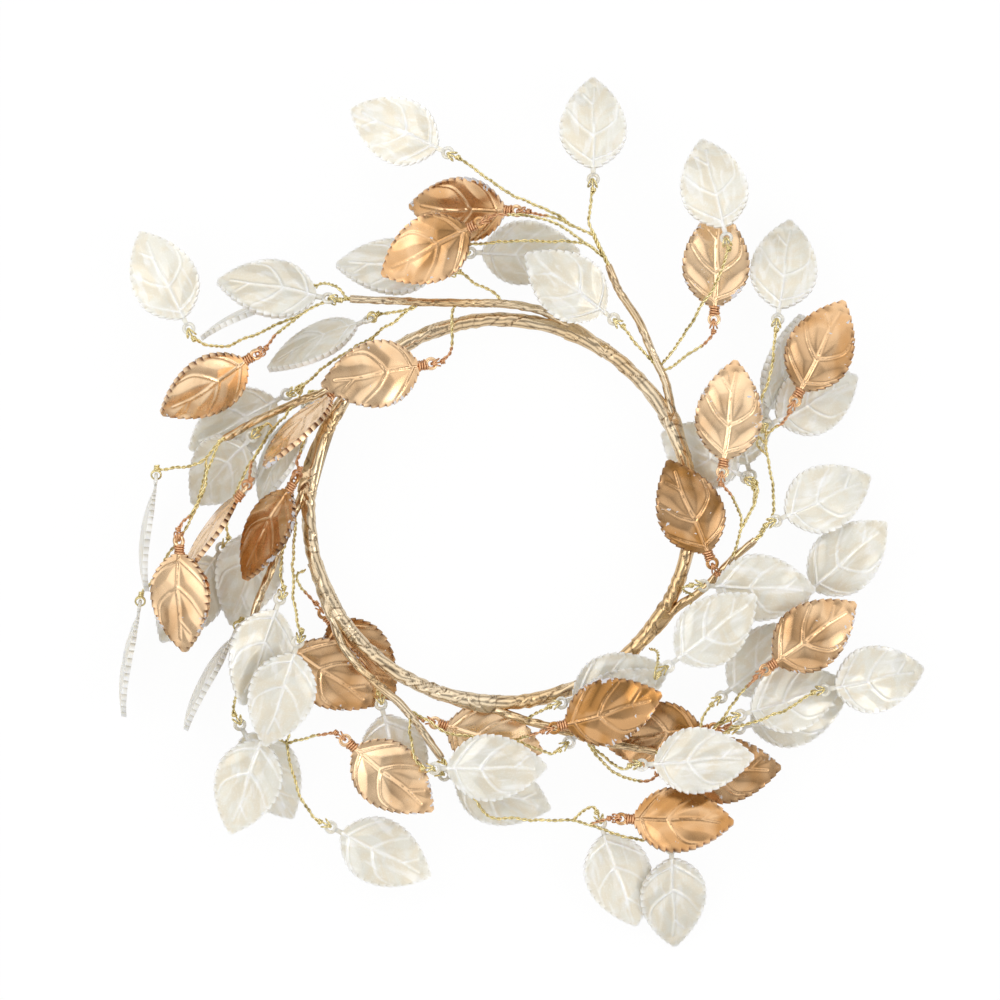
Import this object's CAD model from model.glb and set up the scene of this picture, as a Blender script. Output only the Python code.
"""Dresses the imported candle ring: moulded leaves, twisted wires, foil tape, light and camera.

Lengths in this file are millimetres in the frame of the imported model. They become metres
where a mesh is made.
"""

import logging
import math
from collections.abc import Sequence
from dataclasses import dataclass, field
from enum import Enum

import bmesh
import bpy
import numpy as np
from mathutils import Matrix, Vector, noise

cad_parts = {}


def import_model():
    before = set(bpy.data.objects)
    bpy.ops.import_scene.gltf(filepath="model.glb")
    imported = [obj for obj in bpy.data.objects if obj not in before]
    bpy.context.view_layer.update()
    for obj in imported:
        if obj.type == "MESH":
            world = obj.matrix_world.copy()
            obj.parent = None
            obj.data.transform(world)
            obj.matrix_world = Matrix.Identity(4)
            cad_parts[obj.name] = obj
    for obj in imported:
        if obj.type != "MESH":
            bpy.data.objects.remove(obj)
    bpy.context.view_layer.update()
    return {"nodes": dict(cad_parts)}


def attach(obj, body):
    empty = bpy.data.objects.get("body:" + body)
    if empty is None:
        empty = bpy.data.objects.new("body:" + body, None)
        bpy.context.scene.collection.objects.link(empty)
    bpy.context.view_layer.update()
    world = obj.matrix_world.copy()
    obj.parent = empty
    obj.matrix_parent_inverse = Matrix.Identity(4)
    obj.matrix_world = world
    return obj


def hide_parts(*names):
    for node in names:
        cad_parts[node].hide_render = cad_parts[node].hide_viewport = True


LOG = logging.getLogger("candle_ring")
MM = 0.001
TURN = 2 * math.pi
# The fixed seed of Blender's noise, so that each run shapes the same wires and folds
NOISE_SEED = 7
# The steepest slope a smoothed line may have at a point, as a share of the way to the next
STEEPEST = 1.4

Point = tuple[float, float, float]
Colour = tuple[float, float, float]
Route = tuple[Point, ...]


class Finish(Enum):
    """What a leaf is coated with."""

    PEARL = "pearl"
    COPPER = "copper"


@dataclass(frozen=True)
class LeafPlace:
    """One leaf: where its eye is, where its tip aims, and the route of the twig that holds it.

    Roll turns it about its length, in degrees. Bend is how far the middle of its blade rises.
    Brown is how much of its coat is the browner one, from 0 to 1.
    """

    number: int
    finish: Finish
    swivels: bool
    eye: Point
    aim: Point
    roll: float
    bend: float
    twig: Route
    brown: float = 0.0

    def axes(self) -> np.ndarray:
        """Returns the leaf's own X, Y and Z as the rows of a matrix."""
        forward = np.subtract(self.aim, self.eye)
        forward = forward / np.linalg.norm(forward)
        level = np.cross((0, 0, 1), forward)
        level = level / np.linalg.norm(level)
        upright = np.cross(forward, level)
        cos, sin = math.cos(math.radians(self.roll)), math.sin(math.radians(self.roll))
        return np.array([forward, cos * level + sin * upright, cos * upright - sin * level])

    def placed(self, points: np.ndarray) -> np.ndarray:
        """Moves points from the mould to where the leaf is.

        Args:
            points: Rows of x, y and z in the mould.

        Returns:
            The same rows in the frame.
        """
        return points @ self.axes() + np.array(self.eye)


def pearl(number: int, eye: Point, aim: Point, roll: float, bend: float, *twig: Point) -> LeafPlace:
    """Returns the place of a pearl leaf that stays fixed."""
    return LeafPlace(number, Finish.PEARL, False, eye, aim, roll, bend, twig)


def swinging(number: int, eye: Point, aim: Point, roll: float, bend: float, *twig: Point) -> LeafPlace:
    """Returns the place of a pearl leaf that swivels."""
    return LeafPlace(number, Finish.PEARL, True, eye, aim, roll, bend, twig)


def copper(
    number: int, eye: Point, aim: Point, roll: float, bend: float, *twig: Point, brown: float = 0.0
) -> LeafPlace:
    """Returns the place of a copper leaf, which stays fixed."""
    return LeafPlace(number, Finish.COPPER, False, eye, aim, roll, bend, twig, brown)


@dataclass(frozen=True)
class SprayPlan:
    """One spray: its stem laid against the ring, its bare trunks of wire and its leaves.

    Its root lies between two angles in degrees, and the tape ends at the stem's point taped_to.
    """

    name: str
    root_angles: tuple[float, float]
    free_route: Route
    taped_to: int
    leaves: tuple[LeafPlace, ...]
    trunks: tuple[Route, ...] = ()


TOP = SprayPlan(
    name="top",
    root_angles=(17, 29),
    taped_to=9,
    free_route=(
        (45.6, 32.5, 12.6), (43.4, 37.2, 13.6), (40.8, 42.6, 14.8), (37.5, 50.5, 16.5), (32, 59, 18),
        (29, 66, 19.3), (26, 72, 20.4), (25, 74.5, 20.6)),
    leaves=(
        swinging(1, (25, 89, 20), (25, 116, 8), 0, 1.6, (25, 74.3, 20.6), (24, 78, 21.2), (24.2, 83, 21.4)),
        swinging(2, (-14, 96, 21), (-40, 108, 12), 0, 1.6, (25, 74, 20.5), (20, 76, 21.5), (14.5, 79.6, 22),
            (5, 84, 23), (-3, 88.6, 22.8), (-9, 93, 22.2)),
        copper(3, (4.5, 80.5, 19), (-22.5, 82, 11), -22, 1.6, (19.6, 76.2, 21.5), (14.5, 78.4, 20.5),
            (10, 79.8, 20), brown=0.5),
        copper(4, (-5.5, 77, 30), (-31, 63.5, 24), 0, 1.8, (28, 68, 19.7), (23, 72, 24), (18, 75, 26.5),
            (13, 77.5, 28.5), (6.5, 79, 30), (0, 79, 31), brown=0.6),
        pearl(5, (-8, 69.5, 9), (19, 70, 3), 20, 1, (28, 68, 19.7), (22, 72, 19.5), (14, 72.4, 18.5),
            (3, 72.2, 18), (-8, 71.6, 16.5), (-12.6, 70, 12.5)),
        swinging(6, (30.5, 51.5, 18), (10, 66.5, 24), 0, 1.4, (42.6, 38.8, 13.9), (40, 41, 15.8),
            (36, 45.4, 16.8)),
        swinging(7, (60.5, 73, 27), (54.5, 98.5, 15), 0, 1.6, (42.8, 38.4, 13.8), (46, 42.4, 17),
            (51, 50, 21.5), (55, 56.5, 24), (57.4, 60, 25.4), (59.4, 65.5, 27.6)),
        copper(8, (57.5, 51.5, 15), (58.5, 82, 14), 0, 1.4, (43.2, 37.7, 13.7), (46.5, 39, 14.2),
            (52, 43, 14.8), (56.4, 46.5, 15))))

UPPER_LEFT = SprayPlan(
    name="upper_left",
    root_angles=(57, 69),
    taped_to=13,
    free_route=(
        (14.5, 53.2, 12.6), (6.5, 54.9, 14.2), (2.5, 55.5, 15), (-1.5, 55.8, 15.6), (-10, 55.8, 16.8),
        (-13.5, 55.9, 17.2), (-20, 56, 18), (-24, 56.2, 18.3), (-32.5, 56.5, 19), (-40.2, 56.9, 19.8),
        (-41.5, 57, 20)),
    trunks=(
        ((-22, 56.1, 18.1), (-25, 53.5, 17), (-31, 49.5, 15.5), (-34, 47, 14.5), (-43, 41.5, 12.5),
        (-48.5, 38, 11), (-52, 34.5, 10.6), (-54.5, 31.5, 10.6)),
        ((-41, 57, 19.9), (-47, 56, 16.5), (-54, 52.5, 15.5))),
    leaves=(
        pearl(1, (-14, 64.5, 12.5), (-40, 66, 11), 35, 1.4, (1, 55.6, 15.2), (-1.5, 58.4, 15.2),
            (-7.5, 62, 14), (-10, 63.8, 13)),
        copper(2, (-18.5, 39.5, 21), (-46.5, 34, 25), 0, 1.6, (-11.8, 55.8, 17), (-12.6, 52.5, 18.4),
            (-12.8, 47, 19.4), (-13.6, 42.4, 20)),
        swinging(3, (-35.5, 51.5, 16), (-59.5, 39.5, 13), 60, 1.6, (-22, 56.1, 18.1), (-23.4, 54.2, 17.6),
            (-30.5, 53.4, 16.6)),
        copper(4, (-43.5, 33, 18), (-60.5, 14.5, 26), 70, 1, (-33.6, 47.3, 14.6), (-35.4, 43.5, 15.4),
            (-38.8, 38.8, 16.2)),
        swinging(5, (-46, 57, 22), (-72.5, 61, 21), 32, 1.6, (-41, 57, 19.9), (-42, 56.6, 21.2)),
        swinging(6, (-83.5, 49, 17), (-96.5, 74.5, 10), 0, 1.6, (-53.6, 52.7, 15.5), (-61.5, 49.4, 15),
            (-68, 46.8, 15), (-74, 44.4, 15.5), (-79, 44.6, 16.4)),
        copper(7, (-65.5, 42, 18), (-89.5, 27, 15), -35, 1.6, (-53.6, 52.7, 15.5), (-59, 48, 16.6),
            (-61.8, 45, 17.8)),
        pearl(8, (-53, 59, 9.2), (-79.5, 47, 8.8), 85, 2, (-41, 57, 19.9), (-43.6, 60, 16.5),
            (-47.5, 61.4, 12))))

LEFT = SprayPlan(
    name="left",
    root_angles=(118, 133),
    taped_to=11,
    free_route=(
        (-42.5, 36.6, 10.6), (-46.5, 32.6, 8.8), (-50, 30.9, 8.6), (-53, 30, 8.8), (-57, 28.2, 9.2),
        (-66, 24, 13.5), (-74, 19.4, 18), (-75.5, 18.5, 18.6)),
    trunks=(
        ((-54.8, 29.2, 9), (-57.5, 26, 11.5), (-60.5, 22.6, 15), (-63, 19.2, 17)),),
    leaves=(
        swinging(1, (-92.5, 8.5, 13), (-95, -21, 13), 85, 2.4, (-75, 18.8, 18.4), (-78.8, 14.6, 17.4),
            (-83, 11.8, 15.6), (-88, 11.6, 14)),
        copper(2, (-86, -8, 23), (-84.5, -37.5, 18), 30, 1.6, (-75, 18.8, 18.4), (-77.5, 13.5, 18.8),
            (-79.5, 6, 20.6), (-82, 0, 23), (-85, -3, 23.6), brown=0.2),
        pearl(3, (-97, -25.5, 9.1), (-101, -53, 8.9), 85, 2, (-78.8, 14.6, 17.4), (-80, 7, 13), (-83, -2, 8),
            (-88, -9, 6.5), (-92, -16, 6), (-95.2, -20.6, 7)),
        pearl(4, (-57.5, 31.4, 5), (-78, 20, 3.6), -15, 1, (-54.4, 29.5, 9), (-53, 33.4, 8), (-53.4, 34, 6)),
        pearl(5, (-66.5, 20, 18.3), (-78.5, 7, 5.3), 0, -1, (-61, 22, 15.4), (-62.5, 23.4, 19.6)),
        copper(6, (-68.5, 6, 21), (-83, -14, 16), 78, 1.2, (-62.8, 19.5, 17), (-65.5, 15.5, 19),
            (-66.9, 11, 21)),
        pearl(7, (-75, -10, 3.4), (-86, -27, 3), 0, 0.8, (-62.8, 19.5, 17), (-66.5, 13.5, 17.6),
            (-70, 7.5, 14.6), (-73, 1, 9), (-73.4, -4, 5))))

LOWER_LEFT = SprayPlan(
    name="lower_left",
    root_angles=(152, 174),
    taped_to=14,
    free_route=(
        (-55.6, 1, 12.2), (-56.6, -2.5, 12.6), (-58.2, -7, 13.4), (-62, -17, 15), (-65, -24.5, 16),
        (-67.5, -33.5, 16), (-68.6, -38, 15.6), (-69.6, -43, 15), (-70, -48.5, 14.4)),
    trunks=(
        ((-70, -48, 14.4), (-66.5, -54, 13), (-61.5, -60, 12.8), (-57, -62.5, 14)),),
    leaves=(
        copper(1, (-55, 8.5, 21), (-68, -17.5, 19), 50, 1.4, (-49, 24.6, 12), (-51.2, 23.6, 14),
            (-52.6, 19, 17.4), (-54.4, 14, 20), brown=0.7),
        pearl(2, (-63, -2.5, 10), (-72.5, -31, 5), 0, -0.8, (-57.2, -4.2, 12.9), (-58.4, -1.4, 11),
            (-60.8, 1, 10.4)),
        pearl(3, (-52.4, 29, 4.6), (-63.4, 4, 11.5), 60, 1, (-48.7, 25.1, 12), (-47.4, 28.6, 9),
            (-48.6, 31.8, 5.6), (-50, 32.4, 4.6)),
        swinging(4, (-59, -23.5, 21), (-68, -48.5, 22), -20, 1.2, (-57, -3.6, 12.8), (-57.4, -7, 16),
            (-58.6, -13, 19.4), (-58.4, -18.5, 20.8)),
        swinging(5, (-54, -35, 28), (-61.5, -58, 22), -10, 1.4, (-56, -0.5, 12.4), (-54.9, -4, 15.5),
            (-55.4, -11, 18), (-55.4, -20, 22), (-54.4, -28, 26.5)),
        copper(6, (-58.5, -35.5, 10), (-35.5, -51, 7), 0, 0.8, (-68, -35.6, 15.8), (-65.5, -35, 13.4),
            (-63, -33.6, 11), brown=0.6),
        pearl(7, (-71, -32, 9.1), (-83.5, -56.5, 8.7), 82, 2, (-68.4, -37, 15.8), (-68.2, -33, 12.6),
            (-68.8, -30, 10.4)),
        swinging(8, (-63, -58.5, 18), (-72.5, -87, 13), 0, 1.6, (-57.4, -62.3, 13.9), (-57.2, -58.6, 16.6),
            (-60.4, -55, 18.4)),
        pearl(9, (-70, -57.5, 9), (-57, -81, 1.2), 0, 1, (-70, -48.2, 14.4), (-71.4, -51, 12),
            (-71.8, -53.4, 10)),
        copper(10, (-41.5, -61.5, 18), (-18.5, -80, 17), 0, 1.6, (-57.2, -62.4, 13.9), (-52.5, -61, 15.6),
            (-46.5, -59.4, 17.6)),
        swinging(11, (-45.5, -85, 12), (-18.5, -98.5, 9), 0, 1.6, (-57.2, -62.4, 13.9), (-56, -69, 14),
            (-54, -76, 13.4), (-50.5, -81.6, 12.8))))

BOTTOM = SprayPlan(
    name="bottom",
    root_angles=(196, 212),
    taped_to=12,
    free_route=(
        (-44, -34, 12.6), (-38.8, -40.8, 13.6), (-33.5, -46, 14.4), (-30.5, -48.6, 14.6), (-26.5, -52, 15),
        (-22.4, -57, 15), (-19.5, -61, 15), (-15.6, -66.4, 15), (-14.5, -68, 15)),
    trunks=(
        ((-25.2, -53.5, 15), (-21, -55.2, 14.2), (-16, -58.6, 13.6), (-12, -60, 13.4), (-8, -60.6, 13.4),
        (-1, -61.4, 13.8), (4.5, -61.6, 15)),
        ((-14.6, -67.8, 15), (-11.5, -72, 15), (-7, -77.5, 15), (-2.5, -82, 15), (4.5, -82.6, 15),
        (13, -83, 15), (20, -83, 16.5), (25, -84.4, 18))),
    leaves=(
        copper(1, (-47.5, -27.5, 4.6), (-31, -48, 2), 0, 0.6, (-52.4, -15.8, 12), (-54.6, -17.6, 9.6),
            (-53, -21.6, 6.4), brown=0.7),
        pearl(2, (-32, -52, 10), (-25, -79, 0.9), 0, 1, (-32.4, -46.9, 14.5), (-33.4, -46.6, 12.2),
            (-33.2, -47.8, 11.2)),
        copper(3, (-17.5, -57, 9.4), (10.5, -64.5, 6), 0, 0.8, (-24.6, -54.2, 15), (-23.6, -55, 12),
            (-21.8, -55.8, 10)),
        swinging(4, (-17.5, -69, 20), (14, -68.5, 19.5), 0, 1.6, (-24.3, -54.6, 15), (-24, -60, 18),
            (-23, -66, 20.4)),
        pearl(5, (-15, -71, 10), (13, -80, 7), 0, 1, (-14.7, -67.7, 15), (-17, -67.4, 13), (-19, -69, 10.8)),
        copper(6, (14.5, -58, 26), (43, -49, 25), 8, 1.6, (4, -61.6, 14.9), (6, -60.6, 20), (9, -59.6, 25),
            brown=1.0),
        pearl(7, (18.5, -62, 20), (41, -43.5, 19.5), 0, 1.2, (4, -61.6, 14.9), (8.5, -63.4, 17),
            (13.4, -65, 19.6)),
        swinging(8, (27, -84, 12), (37, -112.5, 5), 0, 1.6, (19.6, -83, 16.4), (22.4, -80.6, 15),
            (25, -79.8, 13)),
        copper(9, (32.5, -82.5, 19.6), (63, -83.5, 19), -18, 1.6, (24, -84.1, 17.7), (27, -83, 19.4),
            brown=0.7),
        pearl(10, (46, -90.5, 14.4), (47, -115, 1.9), -12, 1, (24.6, -84.3, 17.9), (30, -86.6, 16.4),
            (37.5, -88.4, 16), (42, -87.4, 15.8), (45, -86.4, 15.6))))

LOWER_RIGHT = SprayPlan(
    name="lower_right",
    root_angles=(252, 268),
    taped_to=12,
    free_route=(
        (2, -55.6, 12.8), (5, -56, 13.3), (9, -56.8, 13.7), (13, -57.8, 14), (20, -60, 14), (25, -61.3, 14),
        (33, -63, 14), (41.8, -64.7, 14.4), (43.5, -65, 14.5)),
    trunks=(
        ((43, -64.9, 14.5), (49, -63, 15), (54, -60.5, 15.5), (58.5, -57, 16.5), (63, -51, 18),
        (66.5, -46.5, 22)),
        ((53.6, -60.7, 15.4), (60, -59.4, 17.2), (66, -57.4, 19), (72, -55.2, 19.5), (79, -52, 19))),
    leaves=(
        swinging(1, (16.5, -51.5, 16), (42, -43.5, 16), 0, 1, (6.5, -56.3, 13.5), (8.4, -54.8, 15),
            (11.6, -53.2, 16)),
        copper(2, (57.5, -58.5, 12.4), (30, -62, 9.4), 0, 0.8, (58, -57.4, 16.4), (60.6, -55.8, 15.4),
            (62, -57.2, 13.4), brown=0.8),
        copper(3, (45.5, -70.5, 8.6), (75.5, -69, 8.6), 0, 0.8, (22.6, -60.7, 14), (27, -66.5, 12.4),
            (33, -71.4, 10.4), (39.5, -72.4, 9), brown=0.6),
        swinging(4, (38, -68, 21), (66, -66, 21), -10, 1.4, (22.6, -60.7, 14), (27.5, -65.6, 17),
            (32.6, -69.2, 20.4)),
        copper(5, (71, -42.5, 25), (96, -24, 23), 0, 1.6, (66, -47.2, 21.4), (67.8, -45.6, 24.4),
            brown=0.35),
        pearl(6, (59.5, -50, 10), (82, -31, 8), 0, 1, (53.2, -60.9, 15.4), (54.2, -56.6, 13),
            (56, -53.4, 10.8)),
        pearl(7, (64.5, -54.8, 17), (88.5, -47, 10), 0, 1, (57.4, -57.9, 16.2), (60.6, -56.4, 17.2)),
        pearl(8, (64.5, -58.5, 5.6), (90, -51.5, 1.1), 0, 1, (55.6, -60.3, 16), (58.6, -60.4, 14),
            (61.6, -58.6, 11), (61.8, -58.8, 7.6)),
        swinging(9, (87, -48, 18), (113.5, -42.5, 6), 0, 1.6, (78.6, -52.2, 19), (82.6, -49.6, 19))))

RIGHT = SprayPlan(
    name="right",
    root_angles=(316, 328),
    taped_to=8,
    free_route=(
        (50, -25, 12.8), (55, -20.5, 13.6), (60, -15.5, 14.3), (63.5, -12, 14.8), (68.5, -7.7, 15.3),
        (70.5, -6, 15.5)),
    trunks=(
        ((70.3, -6.2, 15.4), (73.3, -1, 17), (73, 6.5, 18.5), (71.8, 14, 20), (71.3, 21, 20.5)),
        ((61.6, -13.8, 14.6), (63.5, -9.5, 16), (65, -4, 17))),
    leaves=(
        copper(1, (57, -14, 16), (46, 11.5, 17), 0, 0.8, (62, -13.5, 14.6), (60.6, -16, 15.6),
            (59.4, -17, 16), brown=0.8),
        copper(2, (59.5, 10.5, 26), (63, 40.5, 24), 0, 1.6, (64.8, -4.6, 17), (64, -0.5, 20),
            (62.4, 3.6, 24), (60.4, 6, 26)),
        pearl(3, (67.5, 9.5, 5.6), (60, 38, 2.6), 0, 1, (64.8, -4.6, 17), (67.6, 0, 12), (68.6, 4.6, 7)),
        pearl(4, (66, 9, 17.2), (52, 16.5, 6.7), -8, 0.6, (64.8, -4.6, 17), (67.2, 0, 18), (69, 4, 19),
            (69, 6.6, 19.2)),
        swinging(5, (74.5, 51.5, 18), (78, 77.5, 5), 0, 1.6, (71.3, 20.6, 20.5), (69.6, 26, 22),
            (70.6, 31, 22.4), (72.5, 37.5, 22), (73.4, 45.5, 20.4)),
        pearl(6, (71, 24.5, 10.4), (80, 49, 9), 55, 1.2, (71.7, 15, 20), (69.4, 17.6, 16), (69, 20.4, 12)),
        pearl(7, (72, 23, 15.6), (93, 34.5, 5), 0, 1, (71.6, 17.8, 20.2), (69.4, 19.6, 19.4),
            (68.6, 20.8, 17.8)),
        copper(8, (79, 29.5, 24), (92, 56, 20), 0, 1.6, (71.3, 20.6, 20.5), (74, 22.6, 22.6),
            (76.4, 24.8, 24), brown=0.6),
        swinging(9, (74, -2.6, 19), (98, 8.5, 9), 0, 1.4, (70, -6.4, 15.4), (70.2, -5, 18.6)),
        swinging(10, (81.5, -23, 11), (104, -3, 9), 0, 1.4, (50.8, -24.3, 12.9), (54, -27.4, 12.4),
            (62, -27.4, 12), (70, -26.6, 11.6), (76, -27, 11.2)),
        pearl(11, (54.5, -20, 21), (82.5, -21, 19), 0, 1, (52.6, -22.7, 13.2), (49.6, -21.6, 17),
            (49.4, -20.4, 20)),
        swinging(12, (45, -41.5, 27), (69, -22, 26), 0, 1.4, (40.4, -37, 12), (42.4, -38, 17),
            (42, -41.5, 23), (41.6, -44.6, 26.6))))

SPRAYS = (TOP, UPPER_LEFT, LEFT, LOWER_LEFT, BOTTOM, LOWER_RIGHT, RIGHT)


class Signal:
    """A socket that takes part in Python sums: each operator adds a Math node."""

    def __init__(self, tree: "Tree", socket: bpy.types.NodeSocket) -> None:
        """Holds the socket and the tree that it belongs to."""
        self.tree = tree
        self.socket = socket

    def __add__(self, other: "Signal | float") -> "Signal":
        """Returns this plus other."""
        return self.tree.maths("ADD", self, other)

    def __sub__(self, other: "Signal | float") -> "Signal":
        """Returns this less other."""
        return self.tree.maths("SUBTRACT", self, other)

    def __rsub__(self, other: float) -> "Signal":
        """Returns other less this."""
        return self.tree.maths("SUBTRACT", other, self)

    def __mul__(self, other: "Signal | float") -> "Signal":
        """Returns this times other."""
        return self.tree.maths("MULTIPLY", self, other)

    def __truediv__(self, other: "Signal | float") -> "Signal":
        """Returns this divided by other."""
        return self.tree.maths("DIVIDE", self, other)

    def capped(self) -> "Signal":
        """Returns this, or 1 where it is more."""
        return self.tree.maths("MINIMUM", self, 1.0)

    __radd__ = __add__
    __rmul__ = __mul__


class Tree:
    """A node tree with one method that adds any node."""

    def __init__(self, tree: bpy.types.NodeTree) -> None:
        """Holds the node tree."""
        self.tree = tree

    def add(self, kind: str, inputs: dict | None = None, **settings: object) -> bpy.types.Node:
        """Adds one node.

        Args:
            kind: The node's type.
            inputs: Values or signals for its sockets, by name or by number.
            settings: The node's own settings, set before its sockets. "stops" gives a
                grey ramp's positions and levels.

        Returns:
            The new node.
        """
        node = self.tree.nodes.new(kind)
        for name, value in settings.items():
            if name == "stops":
                ramp = node.color_ramp
                while len(ramp.elements) < len(value):
                    ramp.elements.new(0.5)
                for element, (position, level) in zip(ramp.elements, value):
                    element.position = position
                    element.color = (level, level, level, 1)
            else:
                setattr(node, name, value)
        for key, value in (inputs or {}).items():
            if isinstance(value, Signal):
                self.tree.links.new(value.socket, node.inputs[key])
            else:
                node.inputs[key].default_value = value
        return node

    def out(self, node: bpy.types.Node, key: str | int = 0) -> Signal:
        """Returns one of a node's outputs as a signal."""
        return Signal(self, node.outputs[key])

    def made(self, kind: str, inputs: dict | None = None, key: str | int = 0, **settings: object) -> Signal:
        """Adds one node and returns one of its outputs."""
        return self.out(self.add(kind, inputs, **settings), key)

    def maths(self, operation: str, *values: "Signal | float") -> Signal:
        """Returns the result of a Math node."""
        return self.made("ShaderNodeMath", dict(enumerate(values)), operation=operation)


class Shader(Tree):
    """A material's node tree."""

    def __init__(self, name: str) -> None:
        """Makes an empty material."""
        self.material = bpy.data.materials.new(name)
        self.material.use_nodes = True
        self.material.node_tree.nodes.clear()
        super().__init__(self.material.node_tree)

    def read(self, attribute: str, output: str = "Fac") -> Signal:
        """Returns an attribute of the mesh, as a number or with output "Vector" as a place."""
        return self.made("ShaderNodeAttribute", key=output, attribute_name=attribute)

    def here(self) -> Signal:
        """Returns the place on the piece, in metres."""
        return self.made("ShaderNodeTexCoord", key="Object")

    def stretched(self, place: Signal, scale: Point) -> Signal:
        """Returns a place scaled along each axis."""
        return self.made("ShaderNodeVectorMath", {0: place, 1: scale}, operation="MULTIPLY")

    def cloud(self, place: Signal, scale: float, detail: float = 2, distortion: float = 0) -> Signal:
        """Adds a Noise Texture.

        Args:
            place: Where it is read.
            scale: Its scale.
            detail: Its detail.
            distortion: How far it is swirled.

        Returns:
            A number from 0 to 1.
        """
        inputs = {"Vector": place, "Scale": scale, "Detail": detail, "Distortion": distortion}
        return self.made("ShaderNodeTexNoise", inputs, "Fac")

    def cells(self, place: Signal, scale: float) -> Signal:
        """Returns the distance given by a Voronoi Texture."""
        return self.made("ShaderNodeTexVoronoi", {"Vector": place, "Scale": scale}, "Distance")

    def step(self, value: Signal, low: float, high: float) -> Signal:
        """Returns 0 where value is under low, 1 where it is over high, and a ramp between."""
        inputs = {"Value": value, "From Min": low, "From Max": high}
        return self.made("ShaderNodeMapRange", inputs, interpolation_type="SMOOTHSTEP")

    def mixed(self, share: Signal, first: "Signal | Colour", second: "Signal | Colour") -> Signal:
        """Returns a colour between two, by share."""
        inputs: dict[int, object] = {0: share}
        for key, colour in ((6, first), (7, second)):
            inputs[key] = colour if isinstance(colour, Signal) else (*colour, 1)
        return self.made("ShaderNodeMix", inputs, 2, data_type="RGBA")

    def bump(self, height: Signal, strength: float, distance: float) -> Signal:
        """Returns a normal tilted by a height, where distance is its depth in metres."""
        inputs = {"Height": height, "Strength": strength, "Distance": distance}
        return self.made("ShaderNodeBump", inputs)

    def surface(self, inputs: dict[str, object]) -> bpy.types.Material:
        """Ends the material in a Principled BSDF.

        Args:
            inputs: Values or signals for its sockets.

        Returns:
            The finished material.
        """
        self.add("ShaderNodeOutputMaterial", {"Surface": self.made("ShaderNodeBsdfPrincipled", inputs)})
        return self.material


@dataclass(frozen=True)
class PearlPlastic:
    """Greyish ivory plastic with a pearl coat: soft swirls, a paler rim and white veins."""

    warm: Colour = (0.785, 0.72, 0.587)
    cool: Colour = (0.80, 0.782, 0.70)
    pale: Colour = (0.97, 0.965, 0.94)
    groove: Colour = (0.50, 0.465, 0.39)
    roughness: float = 0.25
    groove_share: float = 0.7
    rim_share: float = 0.85
    vein_share: float = 1.1
    streak_share: float = 0.55
    grain_share: float = 0.3

    def material(self) -> bpy.types.Material:
        """Returns the material."""
        shader = Shader("pearl plastic")
        place = shader.read("mould_place", "Vector")
        swirl = shader.step(shader.cloud(place, scale=0.11, detail=3, distortion=1.8), 0.35, 0.65)
        lengthwise = shader.stretched(place, (0.3, 1.0, 1.0))
        streak = shader.cloud(lengthwise, scale=0.42, detail=2, distortion=0.7)
        grain = shader.cloud(place, scale=2.4)
        colour = shader.mixed(swirl, self.warm, self.cool)
        colour = shader.mixed(shader.read("groove") * self.groove_share, colour, self.groove)
        light = shader.read("rim") * self.rim_share + shader.read("vein") * self.vein_share
        light = light + shader.step(streak, 0.48, 0.72) * self.streak_share
        light = light + shader.step(grain, 0.52, 0.72) * self.grain_share
        colour = shader.mixed(light.capped(), colour, self.pale)
        return shader.surface({
            "Base Color": colour,
            "Roughness": self.roughness + 0.16 * streak,
            "Metallic": 0.2,
            "Specular IOR Level": 0.6,
            "Transmission Weight": 0.2,
            "Subsurface Weight": 0.35,
            "Subsurface Radius": (0.002, 0.0018, 0.0014),
            "Subsurface Scale": 1.0,
            "Coat Weight": 0.4,
            "Coat Roughness": 0.18,
            "Normal": shader.bump(grain, 0.2, 0.0001)})


@dataclass(frozen=True)
class CopperPaint:
    """Satin copper paint on plastic, browner in patches and chipped to grey near the rim."""

    bright: Colour = (0.95, 0.68, 0.42)
    brown: Colour = (0.46, 0.215, 0.055)
    rim: Colour = (0.95, 0.70, 0.46)
    groove: Colour = (0.20, 0.085, 0.035)
    chip: Colour = (0.60, 0.585, 0.60)
    roughness: float = 0.2
    patch_share: float = 0.4
    brown_share: float = 0.8
    rim_share: float = 0.15
    vein_share: float = 0.25
    groove_share: float = 1.6
    pit_share: float = 0.6

    def material(self) -> bpy.types.Material:
        """Returns the material."""
        shader = Shader("copper paint")
        place = shader.read("mould_place", "Vector")
        patch = shader.step(shader.cloud(place, scale=0.075, distortion=0.8), 0.38, 0.66)
        patch = patch * self.patch_share + shader.read("brown") * self.brown_share
        colour = shader.mixed(patch.capped(), self.bright, self.brown)
        light = shader.read("rim") * self.rim_share + shader.read("vein") * self.vein_share
        colour = shader.mixed(light.capped(), colour, self.rim)
        colour = shader.mixed((shader.read("groove") * self.groove_share).capped(), colour, self.groove)
        crosswise = shader.stretched(place, (1.0, 0.6, 1.0))
        fleck = shader.cloud(crosswise, scale=0.8, detail=4, distortion=0.4)
        region = shader.step(shader.cloud(place, scale=0.085, detail=1), 0.48, 0.64)
        chipped = shader.step(fleck + shader.read("margin") * region * 0.24, 0.72, 0.74)
        pit = 1 - shader.step(shader.cells(place, scale=0.42), 0.03, 0.07)
        worn = shader.maths("MAXIMUM", chipped, pit * self.pit_share)
        colour = shader.mixed(worn, colour, self.chip)
        sheen = shader.cloud(place, scale=0.3)
        return shader.surface({
            "Base Color": colour,
            "Roughness": self.roughness + 0.14 * sheen + 0.2 * chipped,
            "Metallic": 0.95 - 0.75 * chipped,
            "Coat Weight": 0.3,
            "Coat IOR": 1.6,
            "Coat Roughness": 0.15,
            "Normal": shader.bump(sheen * 1.5 - chipped, 0.25, 0.0001)})


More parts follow.
